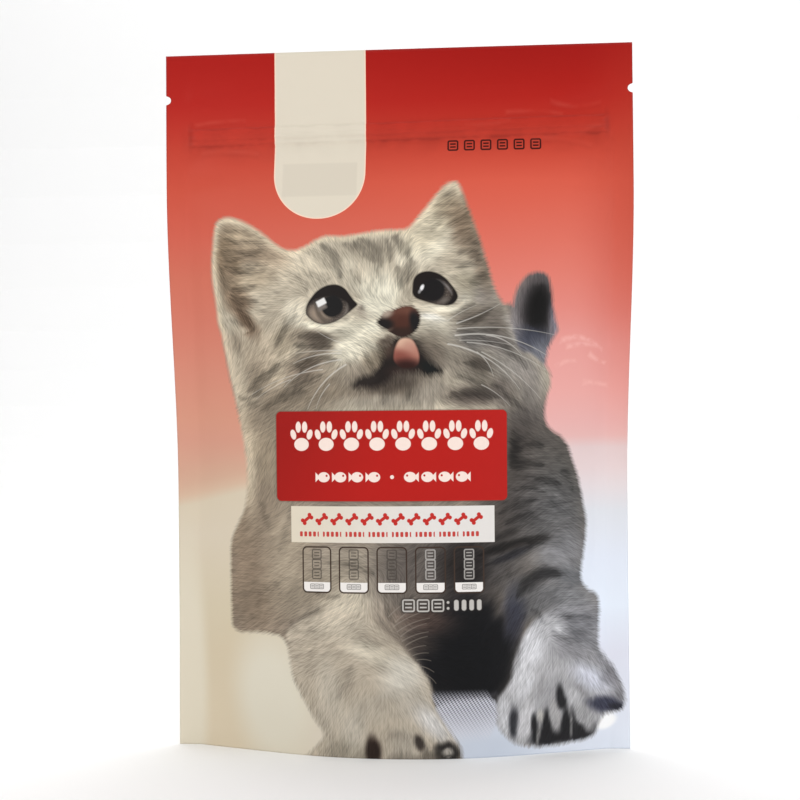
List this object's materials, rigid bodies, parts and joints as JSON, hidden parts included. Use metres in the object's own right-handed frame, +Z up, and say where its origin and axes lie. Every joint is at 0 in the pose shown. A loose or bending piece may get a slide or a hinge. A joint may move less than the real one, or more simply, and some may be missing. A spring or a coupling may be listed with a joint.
{
  "type": "pet food bag",
  "caption": "Sealed stand-up bag of dry pet food with bulging film panels, flat side and top seals, a bottom gusset that it stands on, an inner zipper band and tear notches.",
  "frame": {"origin": "on the floor, at the middle of the foot", "axes": "+Z up; X across the bag, along its width; the printed front panel faces -Y and the back panel +Y"},
  "size_m": [0.2, 0.0464, 0.297],
  "materials": {
    "printed_film": "matt printed laminate film with a soft sheen"
  },
  "bodies": {
    "root": {"sealed_pouch": "printed_film"}
  },
  "joints": []
}
